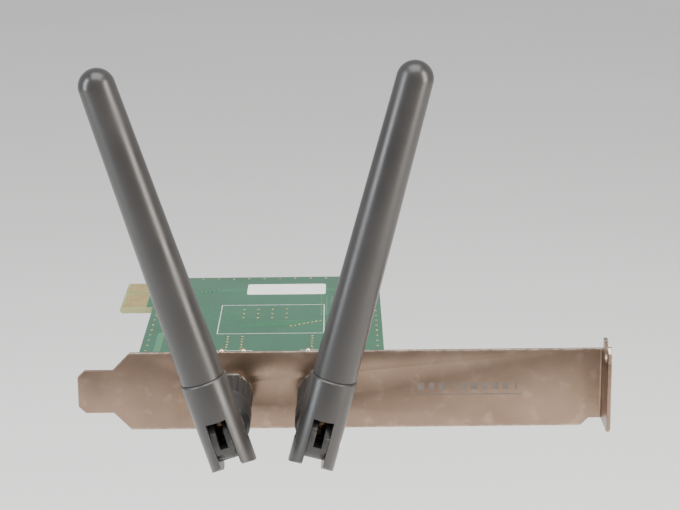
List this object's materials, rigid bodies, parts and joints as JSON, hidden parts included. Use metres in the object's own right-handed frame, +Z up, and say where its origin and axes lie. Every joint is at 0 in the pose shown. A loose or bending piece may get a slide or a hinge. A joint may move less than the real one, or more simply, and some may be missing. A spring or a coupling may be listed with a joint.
{
  "type": "desktop wi-fi adapter card",
  "caption": "Expansion-slot Wi-Fi adapter card with a plated slot bracket, a circuit board with an edge connector and hinged stick antennas screwed on to its jacks.",
  "frame": {"origin": "on the underside of the bracket's bent tab, level with the screw that clamps it and on the bracket's centre line", "axes": "+X from the board's edge connector to the bent tab, +Y into the computer, +Z up, the way the antennas stand"},
  "size_m": [0.1201, 0.1064, 0.09],
  "materials": {
    "plated_steel": "thin nickel plate on sheet steel, satin, faintly warm",
    "circuit_board": "dark green solder mask over glass laminate",
    "gold_plate": "gold plate",
    "tin_plate": "tin plated sheet",
    "chip_plastic": "moulded epoxy, matt black",
    "silicone_pad": "soft grey-blue silicone",
    "ferrite": "pressed ferrite, matt",
    "tantalum_case": "moulded ochre case",
    "chip_ceramic": "tan ceramic with tinned ends",
    "chip_resistor": "black glazed chip with tinned ends",
    "nickel_hardware": "nickel plated brass and steel",
    "ptfe": "white fluoropolymer",
    "black_plastic": "satin moulded plastic, black",
    "antenna_plastic": "semi-gloss moulded plastic, charcoal black",
    "gasket_rubber": "silicone rubber, dark red",
    "lead_jacket": "thin fluoropolymer jacket, brown",
    "brass_tube": "drawn brass",
    "copper_wire": "bare copper"
  },
  "bodies": {
    "card": {"bracket": "plated_steel", "circuit_board": "circuit_board", "edge_contacts": "gold_plate", "shield_frame": "tin_plate", "shield_lid": "tin_plate", "wifi_chip": "chip_plastic", "thermal_pad": "silicone_pad", "amplifier_chips": "chip_plastic", "crystal": "tin_plate", "memory_chip": "chip_plastic", "voltage_regulator": "chip_plastic", "power_inductor": "ferrite", "tantalum_capacitors": "tantalum_case", "ceramic_capacitors": "chip_ceramic", "resistors": "chip_resistor", "lock_washers": "nickel_hardware", "jack_nuts": "nickel_hardware", "left_jack_body": "gold_plate", "left_jack_insulator": "ptfe", "left_jack_pin": "gold_plate", "right_jack_body": "gold_plate", "right_jack_insulator": "ptfe", "right_jack_pin": "gold_plate"},
    "left_coupling": {"left_grip_sleeve": "black_plastic", "left_coupling_nut": "nickel_hardware", "left_retaining_ring": "nickel_hardware", "left_plug_gasket": "gasket_rubber"},
    "left_base": {"left_elbow": "black_plastic", "left_plug_body": "nickel_hardware", "left_plug_insulator": "ptfe", "left_plug_contact": "gold_plate", "left_elbow_lead": "lead_jacket", "left_hinge_pins": "black_plastic"},
    "left_rod": {"left_rod_fork": "antenna_plastic", "left_rod_shell": "antenna_plastic", "left_radiator_sleeve": "brass_tube", "left_rod_lead": "lead_jacket", "left_whip_wire": "copper_wire"},
    "right_coupling": {"right_grip_sleeve": "black_plastic", "right_coupling_nut": "nickel_hardware", "right_retaining_ring": "nickel_hardware", "right_plug_gasket": "gasket_rubber"},
    "right_base": {"right_elbow": "black_plastic", "right_plug_body": "nickel_hardware", "right_plug_insulator": "ptfe", "right_plug_contact": "gold_plate", "right_elbow_lead": "lead_jacket", "right_hinge_pins": "black_plastic"},
    "right_rod": {"right_rod_fork": "antenna_plastic", "right_rod_shell": "antenna_plastic", "right_radiator_sleeve": "brass_tube", "right_rod_lead": "lead_jacket", "right_whip_wire": "copper_wire"}
  },
  "joints": [
    {"name": "left_coupling_turn", "type": "hinge", "parent": "card", "child": "left_coupling", "pos_m": [-0.08416, 0.00635, 0], "axis": [0, 1, 0], "continuous": true},
    {"name": "left_swivel", "type": "hinge", "parent": "card", "child": "left_base", "pos_m": [-0.08416, -0.02365, 0], "axis": [0, 1, 0], "range_deg": [-162.5, 17.5]},
    {"name": "left_tilt", "type": "hinge", "parent": "left_base", "child": "left_rod", "pos_m": [-0.08416, -0.02365, 0], "axis": [0.9537, 0, 0.3007], "range_deg": [0, 90]},
    {"name": "right_coupling_turn", "type": "hinge", "parent": "card", "child": "right_coupling", "pos_m": [-0.06416, 0.00635, 0], "axis": [0, 1, 0], "continuous": true},
    {"name": "right_swivel", "type": "hinge", "parent": "card", "child": "right_base", "pos_m": [-0.06416, -0.02365, 0], "axis": [0, 1, 0], "range_deg": [-15, 165]},
    {"name": "right_tilt", "type": "hinge", "parent": "right_base", "child": "right_rod", "pos_m": [-0.06416, -0.02365, 0], "axis": [0.9659, 0, -0.2588], "range_deg": [0, 90]}
  ]
}
